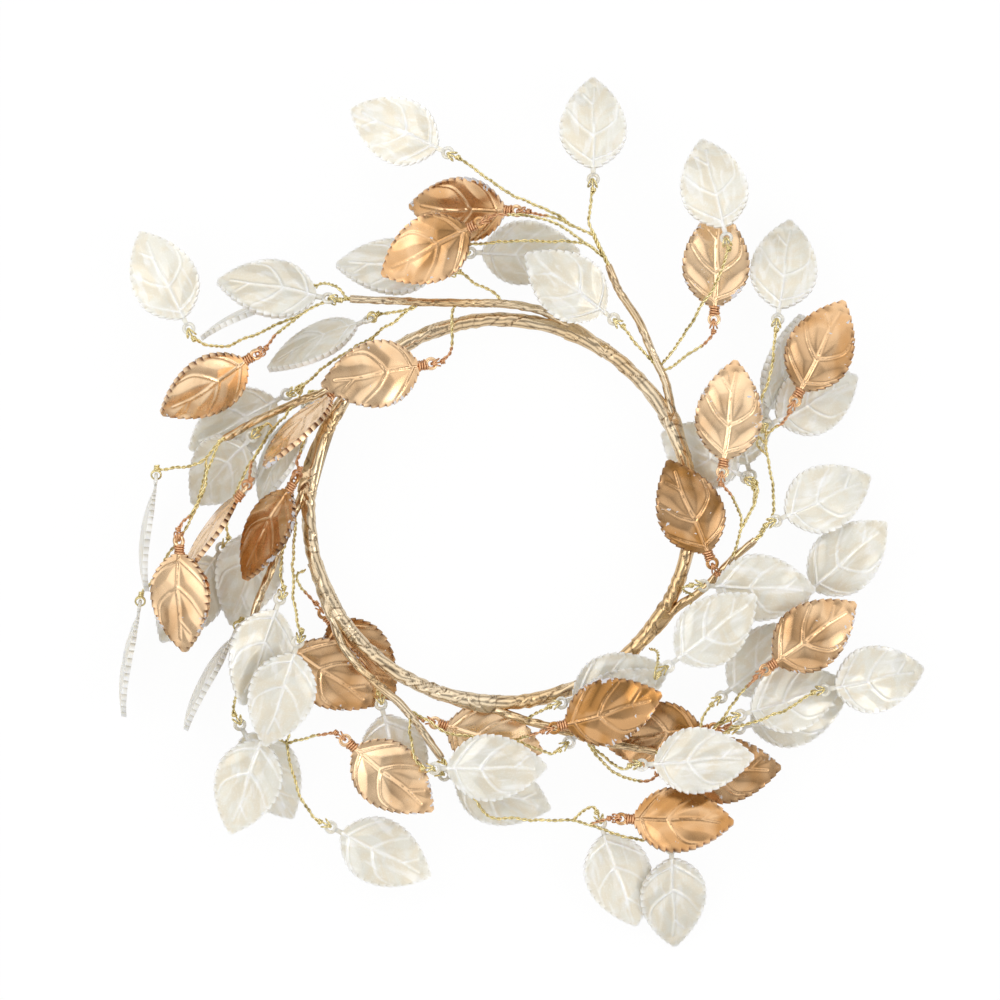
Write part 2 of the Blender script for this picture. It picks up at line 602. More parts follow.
@dataclass(frozen=True)
class TwistedBrass:
    """Bright brass wire, painted copper where it holds a copper leaf."""

    brass: Colour = (0.86, 0.74, 0.40)
    tarnish: Colour = (0.50, 0.40, 0.16)
    paint: Colour = (0.72, 0.40, 0.21)

    def material(self) -> bpy.types.Material:
        """Returns the material."""
        shader = Shader("twisted brass")
        place = shader.here()
        dull = shader.step(shader.cloud(place, scale=260), 0.45, 0.75)
        colour = shader.mixed(dull, self.brass, self.tarnish)
        blotch = shader.cloud(place, scale=900)
        painted = shader.step(shader.read("painted") + (blotch - 0.5) * 0.5, 0.4, 0.6)
        colour = shader.mixed(painted, colour, self.paint)
        return shader.surface({
            "Base Color": colour,
            "Roughness": 0.18 + 0.14 * dull + 0.1 * painted,
            "Metallic": 1.0 - 0.1 * painted,
            "Normal": shader.bump(blotch, 0.25, 0.00005)})


@dataclass(frozen=True)
class CrinkledFoil:
    """Champagne foil tape: bright facets, dark folds and a warmer sheen on some stretches."""

    pale: Colour = (0.735, 0.60, 0.42)
    warm: Colour = (0.68, 0.47, 0.25)
    fold: Colour = (0.14, 0.075, 0.03)
    smudge_share: float = 0.25

    def material(self) -> bpy.types.Material:
        """Returns the material."""
        shader = Shader("crinkled foil")
        place = shader.here()
        warmth = shader.step(shader.cloud(place, scale=34, detail=1), 0.42, 0.68)
        colour = shader.mixed(warmth, self.pale, self.warm)
        smudge = shader.cloud(place, scale=300, detail=1, distortion=0.5)
        dark = shader.read("fold") + shader.step(smudge, 0.58, 0.8) * self.smudge_share
        colour = shader.mixed(dark.capped(), colour, self.fold)
        return shader.surface({
            "Base Color": colour,
            "Roughness": 0.16 + 0.12 * smudge,
            "Metallic": 0.95,
            "Normal": shader.bump(smudge, 0.3, 0.0002)})


@dataclass(frozen=True)
class PlainSteel:
    """The core wire that the tape hides."""

    light: Colour = (0.50, 0.50, 0.52)
    dark: Colour = (0.36, 0.35, 0.35)

    def material(self) -> bpy.types.Material:
        """Returns the material."""
        shader = Shader("core steel")
        dull = shader.cloud(shader.here(), scale=300)
        return shader.surface({
            "Base Color": shader.mixed(dull, self.light, self.dark),
            "Roughness": 0.3 + 0.2 * dull,
            "Metallic": 1.0})


def curved(
    t: np.ndarray, first: np.ndarray, leave: np.ndarray, second: np.ndarray, arrive: np.ndarray
) -> np.ndarray:
    """Draws a smooth curve between two places.

    Args:
        t: Shares of the way, from 0 to 1.
        first: Where it starts.
        leave: Its slope there.
        second: Where it ends.
        arrive: Its slope there.

    Returns:
        The places at those shares.
    """
    return ((2 * t**3 - 3 * t**2 + 1) * first + (t**3 - 2 * t**2 + t) * leave
        + (3 * t**2 - 2 * t**3) * second + (t**3 - t**2) * arrive)


def smoothed(route: Sequence[Point] | np.ndarray, step: float) -> np.ndarray:
    """Draws a smooth line through points.

    Args:
        route: The points.
        step: About how far apart the new points lie.

    Returns:
        Rows of x, y and z along the line.
    """
    knots = np.array(route, float)
    ends = np.vstack([2 * knots[0] - knots[1], knots, 2 * knots[-1] - knots[-2]])
    line = []
    for before, first, second, after in zip(ends, ends[1:], ends[2:], ends[3:]):
        count = max(2, math.ceil(np.linalg.norm(second - first) / step))
        t = np.linspace(0, 1, count, endpoint=False)[:, None]
        longest = STEEPEST * np.linalg.norm(second - first)
        leave, arrive = (
            slope * min(1.0, longest / max(np.linalg.norm(slope), 1e-6))
            for slope in ((second - before) / 2, (after - first) / 2))
        line.append(curved(t, first, leave, second, arrive))
    return np.vstack([*line, knots[-1:]])


def travelled(line: np.ndarray) -> np.ndarray:
    """Returns the distance along a line at each of its points."""
    return np.concatenate([[0], np.cumsum(np.linalg.norm(np.diff(line, axis=0), axis=1))])


def evenly(line: np.ndarray, count: int, closed: bool = False) -> np.ndarray:
    """Returns a line as evenly spaced points, the last of which is left out if it is closed."""
    length = travelled(line)
    places = np.linspace(0, length[-1], count, endpoint=not closed)
    return np.stack([np.interp(places, length, column) for column in line.T], axis=1)


def polar(radius: np.ndarray | float, angle: np.ndarray | float, height: np.ndarray | float) -> np.ndarray:
    """Returns points by their distance from the Z axis, angle in radians and height."""
    return np.stack(np.broadcast_arrays(radius * np.cos(angle), radius * np.sin(angle), height), axis=-1)


def helix(start: float, pitch: float, turns: float, count: int, reach: Sequence[float]) -> np.ndarray:
    """Winds a line round the X axis.

    Args:
        start: Where on the axis it starts.
        pitch: How far it moves along the axis in one turn.
        turns: How many turns it makes.
        count: How many points it has.
        reach: How far it stands out across and upward, and the share by which that swells.

    Returns:
        Rows of x, y and z.
    """
    winding = np.linspace(0, turns * TURN, count)
    swell = 1 + reach[2] * np.sin(winding * 0.37)
    across = reach[0] * swell * np.sin(winding)
    up = reach[1] * swell * np.cos(winding)
    return np.stack([start + pitch * winding / TURN, across, up], 1)


def in_scene(name: str, data: bpy.types.ID) -> bpy.types.Object:
    """Returns a new object, linked to the scene."""
    item = bpy.data.objects.new(name, data)
    bpy.context.scene.collection.objects.link(item)
    return item


def shaken(line: np.ndarray, reach: float, seed: float) -> np.ndarray:
    """Bends a line a little, as wire twisted by hand is.

    Args:
        line: Rows of x, y and z.
        reach: How far a point moves at most.
        seed: Which pattern is used.

    Returns:
        The bent line, with its ends where they were.
    """
    length = travelled(line)
    hold = np.clip(np.minimum(length, length[-1] - length) / 2, 0, 1)[:, None]
    moves = [
        noise.noise_vector(Vector((at * 0.2, seed, 0.5)))
        + 0.45 * noise.noise_vector(Vector((at * 0.5, seed, 7.5))) for at in length]
    return line + reach * hold * np.array(moves)


def frames_along(line: np.ndarray, closed: bool = False) -> tuple[np.ndarray, np.ndarray]:
    """Finds the two directions across a line at each point, with no twist between them.

    Args:
        line: Rows of x, y and z.
        closed: Whether the line meets itself.

    Returns:
        The sideways and the upward directions, as rows.
    """
    if closed:
        along = np.roll(line, -1, axis=0) - np.roll(line, 1, axis=0)
    else:
        along = np.gradient(line, axis=0)
    along = along / np.linalg.norm(along, axis=1)[:, None]
    start = np.array((0.0, 0.0, 1.0)) if abs(along[0][2]) < 0.8 else np.array((1.0, 0.0, 0.0))
    side = np.cross(along[0], start)
    sides = []
    for way in along:
        side = side - (side @ way) * way
        side = side / np.linalg.norm(side)
        sides.append(side)
    across = np.array(sides)
    return across, np.cross(along, across)


def wall_faces(rings: int, sides: int, closed: bool = False) -> np.ndarray:
    """Joins rings of points into four-sided faces.

    Args:
        rings: How many rings there are.
        sides: How many points each ring has.
        closed: Whether the last ring joins the first.

    Returns:
        Rows of four point numbers.
    """
    ring = np.arange(rings if closed else rings - 1)[:, None]
    side = np.arange(sides)[None, :]
    ahead, beside = (ring + 1) % rings, (side + 1) % sides
    corners = (ring * sides + side, ring * sides + beside, ahead * sides + beside, ahead * sides + side)
    return np.stack(np.broadcast_arrays(*corners), axis=-1).reshape(-1, 4)


def piece_of(
    name: str, points: np.ndarray, faces: list, material: bpy.types.Material, marks: dict[str, np.ndarray],
    crease: float = 38.0
) -> bpy.types.Object:
    """Makes an object at the origin.

    Args:
        name: The object's name.
        points: Rows of x, y and z, in millimetres.
        faces: Lists of point numbers.
        material: Its material.
        marks: Values for each point, by name: one number or three.
        crease: The angle in degrees past which an edge is sharp.

    Returns:
        The object.
    """
    mesh = bpy.data.meshes.new(name)
    mesh.from_pydata((points * MM).tolist(), [], faces)
    for mark, values in marks.items():
        if values.ndim == 2:
            mesh.attributes.new(mark, "FLOAT_VECTOR", "POINT").data.foreach_set("vector", values.ravel())
        else:
            mesh.attributes.new(mark, "FLOAT", "POINT").data.foreach_set("value", values)
    mesh.shade_smooth()
    mesh.set_sharp_from_angle(angle=math.radians(crease))
    mesh.materials.append(material)
    return in_scene(name, mesh)


@dataclass(frozen=True)
class Vein:
    """A raised vein of the mould, as points of share of the blade's length and distance across."""

    route: tuple[tuple[float, float], ...]
    width: float = 0.28
    height: float = 0.42


VEINS: tuple[Vein, ...] = (
    Vein(((0.0, 0.0), (0.33, -0.3), (0.6, 0.1), (0.86, -0.5)), 0.34, 0.5),
    Vein(((0.06, 0.0), (0.19, 4.6), (0.32, 8.2))),
    Vein(((0.08, 0.0), (0.15, -4.6), (0.26, -8.0))),
    Vein(((0.33, -0.2), (0.45, 3.6), (0.62, 6.8))),
    Vein(((0.34, -0.2), (0.41, -3.4), (0.52, -6.2), (0.68, -6.6))),
    Vein(((0.68, 0.1), (0.8, 2.8)), 0.26, 0.3))


@dataclass
class LeafMould:
    """The mould that every leaf comes from, with the eye at the origin and the tip along +X.

    The face has a toothed rim, a lip inside it, and domes between the veins. A pillow is how
    far a dome rises, and a flange how far the rim hangs below the lower face.
    """

    length: float = 27.0
    width: float = 18.0
    thickness: float = 0.9
    neck_length: float = 3.2
    neck_width: float = 1.2
    eye_outer: float = 3.6
    eye_hole: float = 1.6
    teeth: int = 16
    tooth_depth: float = 0.38
    flange: float = 0.4
    pillow: float = 0.52
    top_columns: int = 60
    bottom_columns: int = 30
    outline: tuple[tuple[float, float], ...] = ((0, 0.08), (0.06, 0.42), (0.16, 0.74), (0.29, 0.95),
        (0.42, 1), (0.56, 0.94), (0.7, 0.77), (0.83, 0.52), (0.93, 0.26), (1, 0.04))
    tooth_shape: tuple[tuple[float, float], ...] = ((0, 0), (0.17, 0.22), (0.34, 0.44), (0.51, 0.64),
        (0.68, 0.82), (0.82, 0.94), (0.94, 1))
    edge_bend: float = 0.4
    first_slope: float = 9.0
    least_share: float = 0.03
    dome_reach: float = 2.5
    rim_width: float = 0.7
    bite_width: float = 0.4
    margin_width: float = 1.8
    upper_lip: float = 0.08
    neck_stations: tuple[float, float, float] = (1.3, 1.9, 2.5)
    neck_height: float = 0.42
    side_bulge: float = 0.06
    eye_points: int = 28
    eye_section: int = 12
    vein_step: float = 0.4
    vein_fade: float = 0.6
    tooth_middle: float = 0.6
    steepest_rim: float = 2.0
    relief_start: float = 1.5
    lip_start: float = 6.0

    def half_share(self, share: np.ndarray) -> np.ndarray:
        """Returns the share of the half width at shares of the length, drawn as a smooth line."""
        knots, heights = np.array(self.outline).T
        slopes = np.gradient(heights, knots)
        slopes[0] = self.first_slope
        i = np.clip(np.searchsorted(knots, share) - 1, 0, len(knots) - 2)
        gap = knots[i + 1] - knots[i]
        t = (share - knots[i]) / gap
        smooth = curved(t, heights[i], gap * slopes[i], heights[i + 1], gap * slopes[i + 1])
        return np.maximum(smooth, self.least_share)

    def stations(self) -> tuple[np.ndarray, np.ndarray]:
        """Returns the shares of the length that get a row of points, and the tooth's height at each."""
        share = np.linspace(0, 1, 400)
        rim = np.stack([share * self.length, self.half_share(share) * self.width / 2, 0 * share], axis=1)
        length = travelled(rim)
        phases, heights = np.array(self.tooth_shape).T
        at = (np.arange(self.teeth)[:, None] + phases) / self.teeth
        shares = np.interp(at.ravel() * length[-1], length, share)
        return np.append(shares, 1.0), np.append(np.tile(heights, self.teeth), 0.2)

    def relief(self, x: np.ndarray, y: np.ndarray) -> tuple[np.ndarray, np.ndarray]:
        """Finds how far the face stands up, and how much of a point is vein.

        Args:
            x: Distances along the blade.
            y: Distances across it.

        Returns:
            Heights, and numbers from 0 to 1.
        """
        height = np.zeros_like(x)
        vein = np.zeros_like(x)
        nearest = np.full_like(x, 9.0)
        for line in VEINS:
            knots = [(share * self.length, across, 0.0) for share, across in line.route]
            path = smoothed(knots, self.vein_step)
            gaps = np.hypot(x[..., None] - path[:, 0], y[..., None] - path[:, 1])
            gap = gaps.min(axis=-1)
            fade = 1 - self.vein_fade * gaps.argmin(axis=-1) / len(path)
            ridge = np.exp(-(gap / line.width) ** 2) * fade
            height = np.maximum(height, line.height * ridge)
            vein = np.maximum(vein, ridge)
            nearest = np.minimum(nearest, gap)
        dome = self.pillow * (1 - np.exp(-(nearest / self.dome_reach) ** 1.5))
        return height + dome - self.pillow / 2, vein

    def face(self, bend: float, columns: int, side: int) -> tuple[np.ndarray, dict[str, np.ndarray]]:
        """Shapes one face of the neck and the blade.

        Args:
            bend: How far the middle of the blade rises.
            columns: How many strips the face has across.
            side: 1 for the upper face and -1 for the lower one.

        Returns:
            A grid of points and its marks.
        """
        share, tooth = self.stations()
        half = self.half_share(share)
        u = np.linspace(-1, 1, columns + 1)
        s, across, tooth = share[:, None], (1.25 * u - 0.25 * u**3)[None, :], tooth[:, None]
        reach = (half * self.width / 2)[:, None]
        inside = reach * (1 - np.abs(across))
        rim = np.exp(-(inside / self.rim_width) ** 2)
        slope = np.gradient(half * self.width / 2, share * self.length)[:, None]
        lean = np.clip(slope, -self.steepest_rim, self.steepest_rim)
        depth = np.minimum(self.tooth_depth, reach * 0.5)
        bite = depth * (tooth - self.tooth_middle) * np.exp(-inside / self.bite_width)
        bite = bite / np.sqrt(1 + lean**2)
        x = s * self.length + 0 * across
        raised, vein = self.relief(x, reach * across)
        ends = np.clip(x / self.relief_start, 0, 1) * np.clip((1 - s) * 8, 0, 1)
        middle = bend * (1 - (2 * s - 1) ** 2) - bend * self.edge_bend * (half[:, None] * across) ** 2
        middle = middle + raised * (1 - rim) * ends
        lip = rim * np.clip(x / self.lip_start, 0, 1) * (self.upper_lip if side > 0 else self.flange)
        z = middle + side * (self.thickness / 2 + lip)
        grid = np.stack([x - bite * lean + self.neck_length, reach * across + bite * np.sign(across), z], -1)
        neck_x = np.array(self.neck_stations)[:, None] + 0 * across
        bare = 0 * neck_x
        neck = np.stack([neck_x, self.neck_width / 2 * across + bare, side * self.neck_height + bare], -1)
        marks = {
            "rim": rim * tooth,
            "groove": rim * (1 - tooth) ** 2,
            "margin": np.exp(-inside / self.margin_width),
            "vein": vein * (1 - rim)}
        marks = {mark: np.vstack([bare, values]) for mark, values in marks.items()}
        return np.concatenate([neck, grid]), marks

    def blade(self, bend: float) -> tuple[np.ndarray, list, dict[str, np.ndarray]]:
        """Builds the neck and the blade as one closed skin.

        Args:
            bend: How far the middle of the blade rises.

        Returns:
            Its points, its faces and its marks.
        """
        top, top_marks = self.face(bend, self.top_columns, 1)
        low, low_marks = self.face(bend, self.bottom_columns, -1)
        low = low[:, ::-1]
        right, left = (top[:, -1:] + low[:, :1]) / 2, (top[:, :1] + low[:, -1:]) / 2
        right[..., 1] += self.side_bulge
        left[..., 1] -= self.side_bulge
        rings = np.concatenate([top, right, low, left], axis=1)
        marks = {}
        for mark, values in top_marks.items():
            under = low_marks[mark][:, ::-1]
            marks[mark] = np.concatenate([values, values[:, -1:], under, values[:, :1]], axis=1).ravel()
        count, sides = rings.shape[:2]
        faces = wall_faces(count, sides)[:, ::-1].tolist()
        faces.append(list(range(sides)))
        faces.append([(count - 1) * sides + k for k in reversed(range(sides))])
        return rings.reshape(-1, 3), faces, marks

    def eye(self) -> tuple[np.ndarray, list]:
        """Returns the points and faces of the rounded ring at the neck's end."""
        middle, reach = (self.eye_outer + self.eye_hole) / 4, (self.eye_outer - self.eye_hole) / 4
        round_it = np.linspace(0, TURN, self.eye_points, endpoint=False)[:, None]
        section = np.linspace(0, TURN, self.eye_section, endpoint=False)[None, :]
        flat = np.sign(np.sin(section)) * np.abs(np.sin(section)) ** 0.7
        points = polar(middle + reach * np.cos(section), round_it, self.thickness / 2 * flat)
        faces = wall_faces(self.eye_points, self.eye_section, closed=True)[:, ::-1]
        return points.reshape(-1, 3), faces.tolist()


@dataclass
class LeafSet:
    """Casts the leaves and hangs them in their places."""

    mould: LeafMould
    materials: dict[Finish, bpy.types.Material]
    marks: tuple[str, ...] = ("rim", "groove", "margin", "vein", "brown", "mould_place")

    def cast(self, name: str, leaves: Sequence[LeafPlace], seed: int) -> bpy.types.Object:
        """Makes one piece of several leaves of one finish.

        Args:
            name: The piece's name.
            leaves: The leaves in it.
            seed: Which stretch of the coat's pattern they show.

        Returns:
            The object.
        """
        points, faces, marks = [], [], {mark: [] for mark in self.marks}
        count = 0
        for index, leaf in enumerate(leaves):
            blade, blade_faces, blade_marks = self.mould.blade(leaf.bend)
            eye, eye_faces = self.mould.eye()
            shape = np.vstack([blade, eye])
            shift = np.array([40.0 * (seed + index), 25.0 * leaf.number, 17.0 * seed])
            points.append(leaf.placed(shape))
            faces += [[count + k for k in face] for face in blade_faces]
            faces += [[count + len(blade) + k for k in face] for face in eye_faces]
            for mark, values in blade_marks.items():
                marks[mark].append(np.append(values, np.zeros(len(eye))))
            marks["mould_place"].append(shape + shift)
            marks["brown"].append(np.full(len(shape), leaf.brown))
            count += len(shape)
        joined = {mark: np.concatenate(values) for mark, values in marks.items()}
        return piece_of(name, np.vstack(points), faces, self.materials[leaves[0].finish], joined)

    def dress(self, index: int, spray: SprayPlan) -> None:
        """Replaces a spray's plain leaves.

        Args:
            index: The spray's number.
            spray: Its plan.
        """
        for finish in Finish:
            fixed = [leaf for leaf in spray.leaves if leaf.finish is finish and not leaf.swivels]
            if fixed:
                node = f"{spray.name}_{finish.value}_leaves"
                piece = self.cast(f"{node}_moulded", fixed, 3 * index)
                hand_over(piece, node, "wreath")
        for leaf in spray.leaves:
            if leaf.swivels:
                node = f"{spray.name}_leaf_{leaf.number}"
                piece = self.cast(f"{node}_moulded", [leaf], 3 * index + leaf.number)
                hand_over(piece, node, node)


def hand_over(piece: bpy.types.Object, node: str, body: str) -> None:
    """Lets a piece stand for a plain solid.

    Args:
        piece: The finished piece.
        node: The solid that it replaces.
        body: The body that carries it.
    """
    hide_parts(node)
    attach(piece, body)
    LOG.info("%s stands for %s: %d faces", piece.name, node, len(piece.data.polygons))


@dataclass
class WireLines:
    """Lines that wires follow, with how much of each is painted."""

    points: list[np.ndarray] = field(default_factory=list)
    painted: list[np.ndarray] = field(default_factory=list)

    def add(self, line: np.ndarray, painted: np.ndarray | float = 0.0) -> None:
        """Adds one line, with a number from 0 to 1 for each point or for all."""
        self.points.append(line)
        self.painted.append(np.broadcast_to(np.asarray(painted, float), len(line)).copy())

    def mesh(self, name: str) -> bpy.types.Mesh:
        """Returns the lines as loose edges that carry the mark "painted"."""
        mesh = bpy.data.meshes.new(name)
        edges, count = [], 0
        for line in self.points:
            edges += [(count + k, count + k + 1) for k in range(len(line) - 1)]
            count += len(line)
        mesh.from_pydata((np.vstack(self.points) * MM).tolist(), edges, [])
        attribute = mesh.attributes.new("painted", "FLOAT", "POINT")
        attribute.data.foreach_set("value", np.concatenate(self.painted))
        return mesh


class StrandTree(Tree):
    """Geometry Nodes that lay strands of wire, twisted round each other, along lines.

    Its inputs are lengths in metres. A strand lies at an offset from the line, and goes once
    round it in one pitch. The unevenness is how far that turn wanders, in radians.
    """

    INPUTS = (
        ("Strands", "NodeSocketInt", 2),
        ("Strand diameter", "NodeSocketFloat", 0.00048),
        ("Offset", "NodeSocketFloat", 0.00025),
        ("Pitch", "NodeSocketFloat", 0.0034),
        ("Step", "NodeSocketFloat", 0.00028),
        ("Sides", "NodeSocketInt", 6),
        ("Material", "NodeSocketMaterial", None))
    UNEVENNESS = 3.0

    def __init__(self) -> None:
        """Builds the tree."""
        group = bpy.data.node_groups.new("twisted strands", "GeometryNodeTree")
        super().__init__(group)
        group.interface.new_socket("Geometry", in_out="INPUT", socket_type="NodeSocketGeometry")
        group.interface.new_socket("Geometry", in_out="OUTPUT", socket_type="NodeSocketGeometry")
        self.keys: dict[str, str] = {}
        for name, kind, value in self.INPUTS:
            socket = group.interface.new_socket(name, in_out="INPUT", socket_type=kind)
            if value is not None:
                socket.default_value = value
            self.keys[name] = socket.identifier
        node = self.add("NodeGroupInput")
        given = {name: self.out(node, name) for name in ("Geometry", *self.keys)}
        lines = self.made("GeometryNodeMeshToCurve", {0: given["Geometry"]})
        spaced = {"Curve": lines, "Length": given["Step"]}
        lines = self.made("GeometryNodeResampleCurve", spaced, mode="LENGTH")
        travel = self.made("GeometryNodeSplineParameter", key="Length")
        unevenness = self.made("ShaderNodeTexNoise", {"Scale": 300.0, "Detail": 1.0}) * self.UNEVENNESS
        tilt = travel * TURN / given["Pitch"] + unevenness
        lines = self.made("GeometryNodeSetCurveTilt", {"Curve": lines, "Tilt": tilt})
        angle = self.made("GeometryNodeInputIndex") * TURN / given["Strands"]
        spot = self.made("ShaderNodeCombineXYZ", {
            0: self.maths("COSINE", angle) * given["Offset"], 1: self.maths("SINE", angle) * given["Offset"]})
        spots = self.made("GeometryNodePoints", {"Count": given["Strands"], "Position": spot})
        round_wire = self.made("GeometryNodeCurvePrimitiveCircle", {
            "Resolution": given["Sides"], "Radius": given["Strand diameter"] * 0.5})
        profile = self.made("GeometryNodeInstanceOnPoints", {"Points": spots, "Instance": round_wire})
        profile = self.made("GeometryNodeRealizeInstances", {0: profile})
        swept = {"Curve": lines, "Profile Curve": profile, "Fill Caps": True}
        wire = self.made("GeometryNodeCurveToMesh", swept)
        wire = self.made("GeometryNodeSetShadeSmooth", {0: wire})
        wire = self.made("GeometryNodeRealizeInstances", {0: wire})
        wire = self.made("GeometryNodeSetMaterial", {"Geometry": wire, "Material": given["Material"]})
        self.add("NodeGroupOutput", {0: wire})

    def grown(self, lines: WireLines, settings: dict[str, object]) -> bpy.types.Mesh:
        """Runs the tree on some lines.

        Args:
            lines: The lines that the wires follow.
            settings: Values for the tree's inputs, by name.

        Returns:
            The wires as a plain mesh.
        """
        carrier = in_scene("wire lines", lines.mesh("wire lines"))
        modifier = carrier.modifiers.new("strands", "NODES")
        modifier.node_group = self.tree
        for name, value in settings.items():
            modifier[self.keys[name]] = value
        depsgraph = bpy.context.evaluated_depsgraph_get()
        mesh = bpy.data.meshes.new_from_object(carrier.evaluated_get(depsgraph))
        carrier.modifiers.remove(modifier)
        bpy.data.objects.remove(carrier)
        return mesh


@dataclass
class Wirework:
    """The twisted wires of the sprays, the loops through the eyes and the bindings on the necks."""

    tree: StrandTree
    material: bpy.types.Material
    loop_radius: float = 1.3
    loop_lean: float = 0.06
    copper_fans: tuple[float, ...] = (-0.4, 0.0, 0.4)
    pearl_fans: tuple[float, ...] = (-0.55, -0.05, 0.45)
    wire: float = 0.46
    binding_wire: float = 0.66
    wobble: float = 0.5
    route_step: float = 0.5
    paint_start: float = 1.6
    paint_reach: float = 5.0

    def joined(self, name: str, meshes: list[bpy.types.Mesh]) -> bpy.types.Object:
        """Returns several wire meshes as one object."""
        work = bmesh.new()
        for mesh in meshes:
            work.from_mesh(mesh)
        whole = bpy.data.meshes.new(name)
        work.to_mesh(whole)
        work.free()
        whole.shade_smooth()
        whole.materials.clear()
        whole.materials.append(self.material)
        return in_scene(name, whole)

    def single(self, lines: WireLines, thickness: float) -> bpy.types.Mesh:
        """Returns lines as single wires of a thickness."""
        return self.tree.grown(lines, {
            "Material": self.material, "Strands": 1, "Strand diameter": thickness * MM,
            "Offset": 0.0, "Sides": 8})

    def eye_wires(self, leaf: LeafPlace) -> list[np.ndarray]:
        """Returns the lines of the loops through the eye, the last of which winds on round the twig."""
        turn = np.linspace(-0.5 * math.pi, 1.5 * math.pi, 26)
        r = self.loop_radius
        out, up = -r + r * np.sin(turn + math.pi), r * np.cos(turn + math.pi)
        lines = [
            np.stack([out * math.cos(fan), out * math.sin(fan) + self.loop_lean * turn, up], 1)
            for fan in (self.copper_fans if leaf.finish is Finish.COPPER else self.pearl_fans)]
        lines.append(helix(start=-2 * r - 0.1, pitch=-0.44, turns=2.6, count=44, reach=(0.6, 0.6, 0.0)))
        return [leaf.placed(line) for line in lines]

    def neck_binding(self, leaf: LeafPlace) -> np.ndarray:
        """Returns the line of the wire wound tightly round a copper leaf's neck."""
        return leaf.placed(helix(
            start=1.15, pitch=self.binding_wire, turns=3.8, count=90, reach=(1.16, 1.0, 0.1)))

    def twig(self, leaf: LeafPlace, seed: float) -> tuple[np.ndarray, np.ndarray]:
        """Returns a twig's line from the stem to the leaf, and how much of it is painted."""
        end = leaf.placed(np.array([[-2.0 * self.loop_radius, 0.0, 0.0]]))
        line = shaken(smoothed(np.vstack([leaf.twig, end]), self.route_step), self.wobble, seed)
        left = travelled(line)[-1] - travelled(line)
        painted = np.clip(self.paint_start - left / self.paint_reach, 0, 1)
        if leaf.finish is not Finish.COPPER:
            painted = 0 * left
        return line, painted

    def dress(self, index: int, spray: SprayPlan, stem: np.ndarray) -> None:
        """Replaces a spray's plain wires.

        Args:
            index: The spray's number.
            spray: Its plan.
            stem: The stem's line.
        """
        pairs, bundle, singles = WireLines(), WireLines(), WireLines()
        bundle.add(stem)
        for number, trunk in enumerate(spray.trunks):
            pairs.add(shaken(smoothed(trunk, self.route_step), self.wobble, 50 + 9 * index + number))
        for leaf in spray.leaves:
            line, painted = self.twig(leaf, 10 * index + leaf.number)
            pairs.add(line, painted)
            for loop in self.eye_wires(leaf):
                singles.add(loop, 1.0 if leaf.finish is Finish.COPPER else 0.0)
        thick = {"Strands": 3, "Strand diameter": 0.00062, "Offset": 0.00034, "Pitch": 0.0042, "Step": 0.0004}
        meshes = [
            self.tree.grown(pairs, {"Material": self.material}),
            self.tree.grown(bundle, {"Material": self.material, **thick}),
            self.single(singles, self.wire)]
        node = f"{spray.name}_wires"
        hand_over(self.joined(f"{node}_twisted", meshes), node, "wreath")

    def bind_necks(self, sprays: Sequence[SprayPlan]) -> None:
        """Replaces the plain sleeves round the copper leaves' necks."""
        lines = WireLines()
        for spray in sprays:
            for leaf in spray.leaves:
                if leaf.finish is Finish.COPPER:
                    lines.add(self.neck_binding(leaf), 1.0)
        piece = self.joined("neck_windings", [self.single(lines, self.binding_wire)])
        hand_over(piece, "copper_neck_bindings", "wreath")


